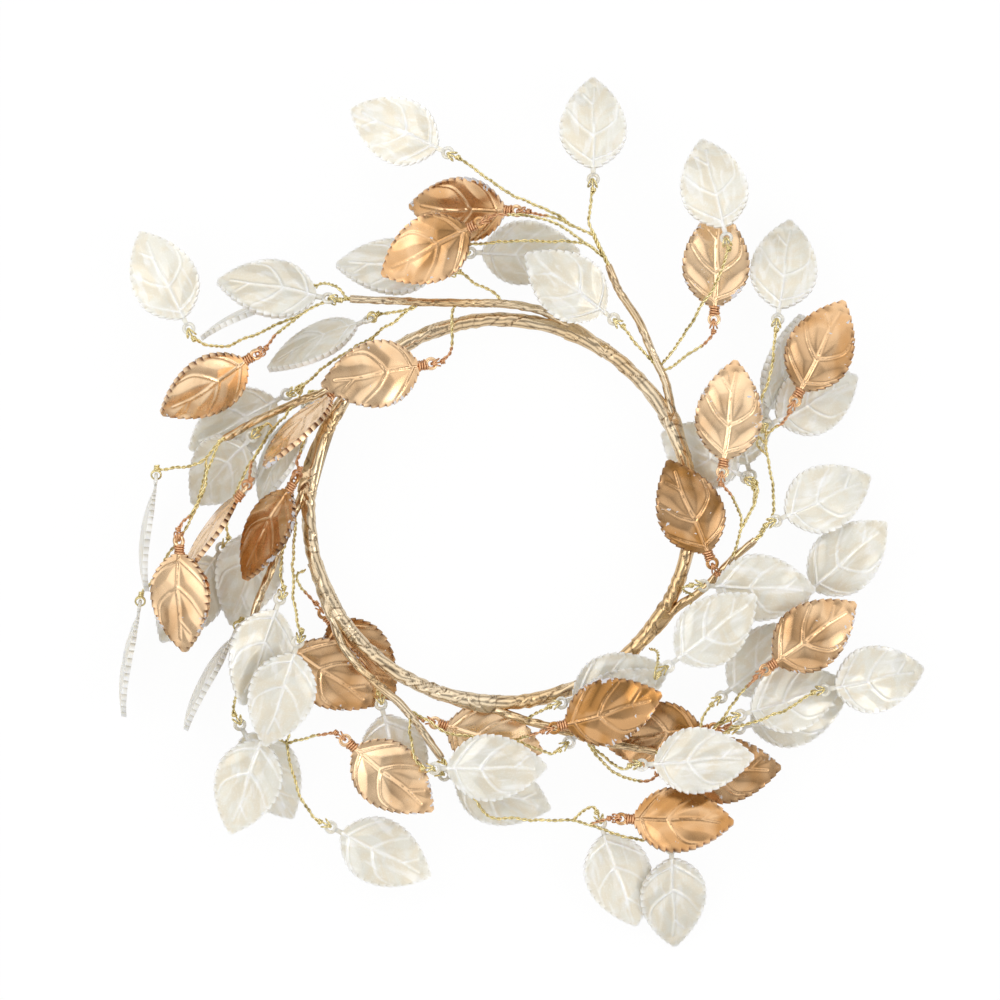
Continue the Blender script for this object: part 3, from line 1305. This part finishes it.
@dataclass
class FoilTape:
    """Foil tape wound at a slant round the ring and the stems, and round the roots that it ties down.

    A lap's edge stands up by the height called lap, and its folds by the one called crinkle.
    A stem is tucked nearer to the ring at its root, and emerges from there over a length. It
    shows only from the share of its root that is covered.
    """

    material: bpy.types.Material
    ring_radius: float = 51.5
    ring_height: float = 12.0
    ring_thickness: float = 3.8
    stem_thickness: float = 2.4
    stem_end: float = 2.0
    root_gap: float = 0.15
    root_step: float = 4.0
    run_in: float = 0.5
    run_out: float = 0.6
    band_lift: float = 0.14
    band_sides: int = 48
    full_by: float = 0.97
    laps: int = 18
    fine_pitch: float = 3.2
    lap: float = 0.22
    crinkle: float = 0.25
    sides: int = 36
    step: float = 0.32
    crease: float = 26.0
    covered: float = 0.9
    root_tip: float = 0.4
    tuck: float = 1.45
    emerge: float = 11.0
    route_step: float = 0.5
    folds_a_lap: int = 3
    fine_folds_a_lap: int = 7
    counter_folds: int = 2
    sway: float = 1.6
    round_reach: float = 0.22
    edge_width: float = 0.25
    meeting: float = 10.0
    end_taper: float = 0.94
    ring_seed: float = 3.0
    stem_seed: float = 11.0
    band_seed: float = 30.0
    band_depth: float = 0.1
    least_gap: float = 0.03
    large_points: int = 30
    small_points: int = 22

    @property
    def root_radius(self) -> float:
        """Radius at which a root lies against the ring."""
        return self.ring_radius + (self.ring_thickness + self.stem_thickness) / 2 + self.root_gap

    def stem_route(self, spray: SprayPlan) -> np.ndarray:
        """Returns a stem's points: the root along the ring, then the free route."""
        first, last = spray.root_angles
        count = math.ceil((last - first) / self.root_step)
        angles = np.radians(np.linspace(first, last, count + 1))
        return np.vstack([polar(self.root_radius, angles, self.ring_height), spray.free_route])

    def stem_line(self, spray: SprayPlan) -> np.ndarray:
        """Returns a smooth line along a stem, from where its root shows under the band."""
        first, last = spray.root_angles
        hidden = math.radians(last - first) * self.root_radius * self.covered
        line = smoothed(self.stem_route(spray), self.route_step)
        length = travelled(line)
        past = np.clip((length - hidden / self.covered) / self.emerge, 0, 1)
        inward = -line[:, :2] / np.linalg.norm(line[:, :2], axis=1)[:, None]
        line[:, :2] += inward * (self.tuck * (1 - past) ** 2 * (1 + 2 * past))[:, None]
        return line[length >= hidden]

    @property
    def pitch(self) -> float:
        """Distance along the ring from one lap of tape to the next."""
        return TURN * self.ring_radius / self.laps

    def crumple(self, travel: float, turn: float, seed: float) -> tuple[float, float]:
        """Folds the foil along its laps and, less, against them.

        Args:
            travel: The distance along the tube.
            turn: The share of a turn round it.
            seed: Which pattern is used.

        Returns:
            How far the foil stands up, from about -1 to 1, and how dark it is there.
        """
        lap = travel / self.pitch + turn
        angle = TURN * turn
        around = Vector((
            math.cos(angle) * self.round_reach, math.sin(angle) * self.round_reach, travel * 0.1 + seed))
        warp = noise.noise(around)
        swell = noise.noise(around * 2.1 + Vector((4, 7, 0)))
        patch = noise.noise(around * 1.3 + Vector((9, 2, 5)))
        sway = self.sway * warp
        # Each set of folds: the place in its fold, how strong it is and the share that is a dark line
        waves = (
            (lap * self.folds_a_lap + sway, 1.0 + 1.2 * swell, 0.12),
            (lap * self.fine_folds_a_lap + 2.0 * swell - 1.5 * warp, max(0.0, 1.8 * patch - 0.05), 0.26),
            (travel / self.fine_pitch - turn * self.counter_folds + sway, max(0.0, -0.4 - 2.2 * patch), 0.25))
        height, dark = 0.0, 0.0
        for place, strength, line in waves:
            slope = abs(place % 1 * 2 - 1)
            height += (slope - 0.5) * strength
            dark = max(dark, (1 - slope / line) * min(1.0, 1.4 * strength))
        return height, dark

    def height(self, travel: float, turn: float, seed: float, whole: float) -> tuple[float, float]:
        """Finds the foil's height and its darkness at a place.

        Args:
            travel: The distance along the tube.
            turn: The share of a turn round it.
            seed: Which pattern is used.
            whole: The tube's length if it meets itself, or 0.

        Returns:
            The height in millimetres, and how much of the place is fold, from 0 to 1.
        """
        phase = (travel / self.pitch + turn) % 1
        crease, dark = self.crumple(travel, turn, seed)
        if whole:
            share = max(0.0, 1 - (whole - travel) / self.meeting)
            crease = (1 - share) * crease + share * self.crumple(travel - whole, turn, seed)[0]
        edge = min(phase, 1 - phase) * self.pitch
        dark = max(dark, math.exp(-(edge / self.edge_width) ** 2))
        return self.lap * (phase - 0.5) + self.crinkle * crease, dark

    def wound(
        self, line: np.ndarray, radii: np.ndarray, seed: float, closed: bool = False
    ) -> tuple[np.ndarray, list, np.ndarray]:
        """Winds tape round a line.

        Args:
            line: Evenly spaced points.
            radii: The radius at each.
            seed: Which pattern of crinkles is used.
            closed: Whether the line meets itself.

        Returns:
            Points, faces, and how much of each point is fold.
        """
        across, upward = frames_along(line, closed)
        length = travelled(line)
        whole = TURN * self.ring_radius if closed else 0.0
        turns = np.arange(self.sides) / self.sides
        heights = np.array([[self.height(at, turn, seed, whole) for turn in turns] for at in length])
        share = (radii / self.ring_thickness * 2)[:, None]
        r = (radii[:, None] + heights[..., 0] * share)[..., None]
        cos, sin = np.cos(TURN * turns)[None, :, None], np.sin(TURN * turns)[None, :, None]
        points = line[:, None, :] + r * (cos * across[:, None, :] + sin * upward[:, None, :])
        faces = wall_faces(len(line), self.sides, closed).tolist()
        if not closed:
            last = (len(line) - 1) * self.sides
            faces.append(list(reversed(range(self.sides))))
            faces.append([last + k for k in range(self.sides)])
        return points.reshape(-1, 3), faces, heights[..., 1].ravel()

    def ring(self) -> None:
        """Replaces the ring's plain wrap."""
        count = round(TURN * self.ring_radius / self.step)
        angles = np.linspace(0, TURN, count, endpoint=False)
        line = polar(self.ring_radius, angles, self.ring_height)
        radii = np.full(count, self.ring_thickness / 2)
        points, faces, folds = self.wound(line, radii, self.ring_seed, closed=True)
        piece = piece_of("ring_crinkled_tape", points, faces, self.material, {"fold": folds}, self.crease)
        hand_over(piece, "ring_foil_wrap", "wreath")

    def stem(self, index: int, spray: SprayPlan) -> None:
        """Replaces a stem's plain tape.

        Args:
            index: The spray's number.
            spray: Its plan.
        """
        line = self.stem_line(spray)
        end = self.stem_route(spray)[spray.taped_to]
        last = np.linalg.norm(line - end, axis=1).argmin()
        line = evenly(line[:last + 1], round(travelled(line)[last] / self.step) + 1)
        radii = np.linspace(self.stem_thickness, self.stem_end, len(line)) / 2
        radii[:2] *= self.end_taper
        radii[-2:] *= self.end_taper
        points, faces, folds = self.wound(line, radii, self.stem_seed + index)
        node = f"{spray.name}_stem_tape"
        piece = piece_of(f"{node}_crinkled", points, faces, self.material, {"fold": folds}, self.crease)
        hand_over(piece, node, "wreath")

    def outline(self, share: float) -> np.ndarray:
        """Rounds a loop about the ring and a root.

        Args:
            share: 0 where the root only begins to show and 1 where it has its full thickness.

        Returns:
            Points as distances out and up from the ring's centreline.
        """
        smooth = share * share * (3 - 2 * share)
        root = self.root_tip + (self.stem_thickness / 2 - self.root_tip) * smooth
        beside = self.ring_thickness / 2 - root + self.least_gap
        apart = beside + (self.root_radius - self.tuck - self.ring_radius - beside) * smooth
        inner, outer = self.ring_thickness / 2 + self.band_lift, root + self.band_lift
        lean = math.acos((inner - outer) / apart)
        large = np.linspace(lean, TURN - lean, self.large_points)
        small = np.linspace(-lean, lean, self.small_points)
        loop = np.vstack([
            np.stack([inner * np.cos(large), inner * np.sin(large)], 1),
            np.stack([apart + outer * np.cos(small), outer * np.sin(small)], 1)])
        return evenly(np.vstack([loop, loop[:1]]), self.band_sides, closed=True)

    def band(self, index: int, spray: SprayPlan) -> tuple[np.ndarray, np.ndarray]:
        """Wraps one root to the ring, from a narrow start over the root's cut end to where it leaves.

        Args:
            index: The spray's number.
            spray: Its plan.

        Returns:
            Loops of points, and how much of each point is fold.
        """
        first, last = np.radians(spray.root_angles)
        start, end = first - self.run_in / self.ring_radius, last + self.run_out / self.ring_radius
        angles = np.linspace(start, end, round((end - start) * self.ring_radius / self.step))
        full = start + (last - start) * self.full_by
        loops, folds = [], []
        for number, angle in enumerate(angles):
            outline = self.outline(min(1.0, (angle - start) / (full - start)))
            away = outline - outline.mean(axis=0)
            away = away / np.linalg.norm(away, axis=1)[:, None]
            turns = np.arange(len(outline)) / len(outline)
            travel = (angle - start) * self.ring_radius
            heights = np.array([self.height(travel, turn, self.band_seed + index, 0.0) for turn in turns])
            spread = outline + away * heights[:, :1]
            inside = outline - away * (self.band_lift + self.band_depth)
            loop = [spread]
            if number == 0:
                loop = [inside, spread]
            elif number == len(angles) - 1:
                loop = [spread, inside]
            for section in loop:
                loops.append(polar(self.ring_radius + section[:, 0], angle, self.ring_height + section[:, 1]))
                folds.append(heights[:, 1])
        return np.array(loops), np.concatenate(folds)

    def bands(self, sprays: Sequence[SprayPlan]) -> None:
        """Replaces the plain bands that tie the roots to the ring."""
        points, faces, folds, count = [], [], [], 0
        for index, spray in enumerate(sprays):
            loops, band_folds = self.band(index, spray)
            points.append(loops.reshape(-1, 3))
            folds.append(band_folds)
            faces += (wall_faces(*loops.shape[:2], closed=True) + count).tolist()
            count += len(points[-1])
        marks = {"fold": np.concatenate(folds)}
        piece = piece_of("root_bands_crinkled", np.vstack(points), faces, self.material, marks, self.crease)
        hand_over(piece, "root_tape_bands", "wreath")


@dataclass
class Studio:
    """Pale floor, soft light and a camera straight above the table."""

    view_width: float = 270.0
    view_middle: tuple[float, float] = (0.0, 2.97)
    camera_height: float = 2700.0
    floor_half: float = 2500.0
    floor_height: float = -0.3
    floor_shades: tuple[float, float] = (0.93, 0.96)
    fill: float = 1.24
    sky: tuple[tuple[float, float], ...] = (
        (0.0, 0.2), (0.3, 0.45), (0.55, 1.0), (0.84, 1.15), (0.93, 0.8), (0.985, 0.25))

    def camera(self) -> None:
        """Adds the camera with a long lens that frames the view's width."""
        lens = bpy.data.cameras.new("camera")
        lens.sensor_fit = "HORIZONTAL"
        lens.lens = lens.sensor_width * self.camera_height / self.view_width
        camera = in_scene("camera", lens)
        camera.location = Vector((*self.view_middle, self.camera_height)) * MM
        bpy.context.scene.camera = camera

    def lamp(self, name: str, place: Point, size: float, power: float, tint: Colour) -> None:
        """Adds a square lamp aimed at the middle of the ring.

        Args:
            name: The lamp's name.
            place: Where it is.
            size: The length of its side.
            power: Its power in watts.
            tint: Its colour.
        """
        light = bpy.data.lights.new(name, "AREA")
        light.size = size * MM
        light.energy = power
        light.color = tint
        lamp = in_scene(name, light)
        lamp.location = Vector(place) * MM
        lamp.rotation_euler = (-Vector(place)).to_track_quat("-Z", "Y").to_euler()

    def seen_white(self, tree: Tree, other: Signal, share: float) -> Signal:
        """Returns a surface that the camera and mirrors see as white, and other rays as another."""
        path = tree.add("ShaderNodeLightPath")
        kinds = ("Camera", "Glossy", "Transmission")
        direct, glossy, clear = (tree.out(path, f"Is {kind} Ray") for kind in kinds)
        seen = (direct + glossy + clear).capped()
        white = tree.made("ShaderNodeEmission", {"Color": (1, 1, 1, 1), "Strength": 1.0})
        return tree.made("ShaderNodeMixShader", {0: seen * share, 1: other, 2: white})

    def floor(self) -> None:
        """Adds the floor."""
        shader = Shader("pale floor")
        grain = shader.cloud(shader.here(), scale=40)
        shade = shader.mixed(grain, *((level, level, level) for level in self.floor_shades))
        plain = shader.made("ShaderNodeBsdfDiffuse", {"Color": shade})
        shader.add("ShaderNodeOutputMaterial", {"Surface": self.seen_white(shader, plain, 0.95)})
        half, low = self.floor_half, self.floor_height
        corners = np.array([(-half, -half, low), (half, -half, low), (half, half, low), (-half, half, low)])
        floor = piece_of("floor", corners, [[0, 1, 2, 3]], shader.material, {})

    def world(self) -> None:
        """Adds a world that is dim overhead, bright part way down and dim again near the floor."""
        world = bpy.data.worlds.new("studio")
        bpy.context.scene.world = world
        world.use_nodes = True
        world.node_tree.nodes.clear()
        tree = Tree(world.node_tree)
        parts = tree.add("ShaderNodeSeparateXYZ", {0: tree.made("ShaderNodeTexCoord", key="Generated")})
        rise = tree.made("ShaderNodeValToRGB", {0: tree.out(parts, 2)}, stops=self.sky)
        side = tree.maths("MAXIMUM", tree.out(parts, 1) * 0.15 - tree.out(parts, 0) * 0.2 + 1.0, 0.2)
        tree.add("ShaderNodeOutputWorld", {
            0: tree.made("ShaderNodeBackground", {"Color": rise, "Strength": side * self.fill})})

    def build(self) -> None:
        """Sets up floor, light and camera."""
        bpy.context.scene.view_settings.view_transform = "Standard"
        self.floor()
        self.world()
        self.lamp("key", (-480, 200, 900), 420, 0.7, (1.0, 0.98, 0.95))
        self.lamp("side", (620, -260, 620), 320, 1.0, (1.0, 0.97, 0.93))
        self.camera()


def main() -> None:
    """Loads the frame, dresses it and sets up the studio."""
    noise.seed_set(NOISE_SEED)
    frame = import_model()
    leaves = LeafSet(LeafMould(), {
        Finish.PEARL: PearlPlastic().material(),
        Finish.COPPER: CopperPaint().material()})
    wirework = Wirework(StrandTree(), TwistedBrass().material())
    tape = FoilTape(CrinkledFoil().material())
    core = frame["nodes"]["ring_core_wire"]
    core.data.materials.clear()
    core.data.materials.append(PlainSteel().material())
    tape.ring()
    tape.bands(SPRAYS)
    wirework.bind_necks(SPRAYS)
    for index, spray in enumerate(SPRAYS):
        tape.stem(index, spray)
        wirework.dress(index, spray, tape.stem_line(spray))
        leaves.dress(index, spray)
    Studio().build()


if __name__ == "__main__":
    logging.basicConfig(level=logging.INFO, format="%(message)s")
    main()
